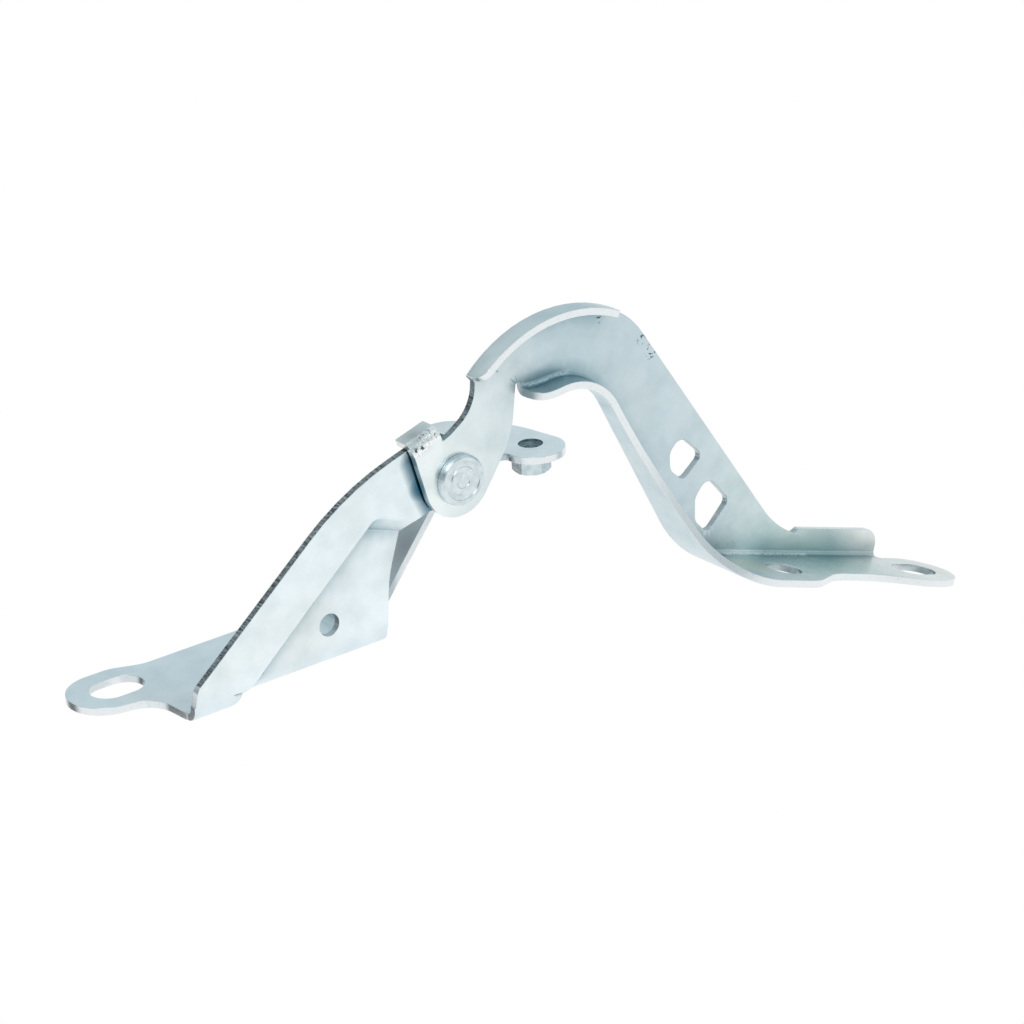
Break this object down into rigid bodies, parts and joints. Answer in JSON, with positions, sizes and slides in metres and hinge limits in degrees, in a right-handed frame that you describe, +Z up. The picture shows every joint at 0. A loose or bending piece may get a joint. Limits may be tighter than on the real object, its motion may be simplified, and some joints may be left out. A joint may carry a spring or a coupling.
{
  "type": "bonnet hinge",
  "caption": "Pressed-steel gooseneck bonnet hinge: a body bracket and a curved bonnet arm turning on a headed rivet, with a stop tab and slotted bolt holes.",
  "frame": {"origin": "centre of the body slot, at the underside of the base plate", "axes": "+Z up, out of the base plate; +X along the base plate towards the bonnet bolts; -Y towards the rivet's head"},
  "size_m": [0.3131, 0.0865, 0.1337],
  "materials": {
    "bracket_zinc": "bright zinc plate with a clear blue passivation",
    "arm_zinc": "bright zinc plate with a clear blue passivation",
    "rivet_zinc": "zinc plate, head coined flat",
    "bush_bronze": "plain sintered bronze",
    "washer_nylon": "moulded",
    "nut_zinc": "zinc plate"
  },
  "bodies": {
    "bracket": {"body_bracket": "bracket_zinc", "pivot_rivet": "rivet_zinc", "thrust_washer": "washer_nylon", "weld_nut": "nut_zinc"},
    "arm": {"bonnet_arm": "arm_zinc", "pivot_bush": "bush_bronze"}
  },
  "joints": [
    {"name": "bonnet_pivot", "type": "hinge", "parent": "bracket", "child": "arm", "pos_m": [0.106, -0.0386, 0.0515], "axis": [0, 1, 0], "range_deg": [0, 65]}
  ]
}
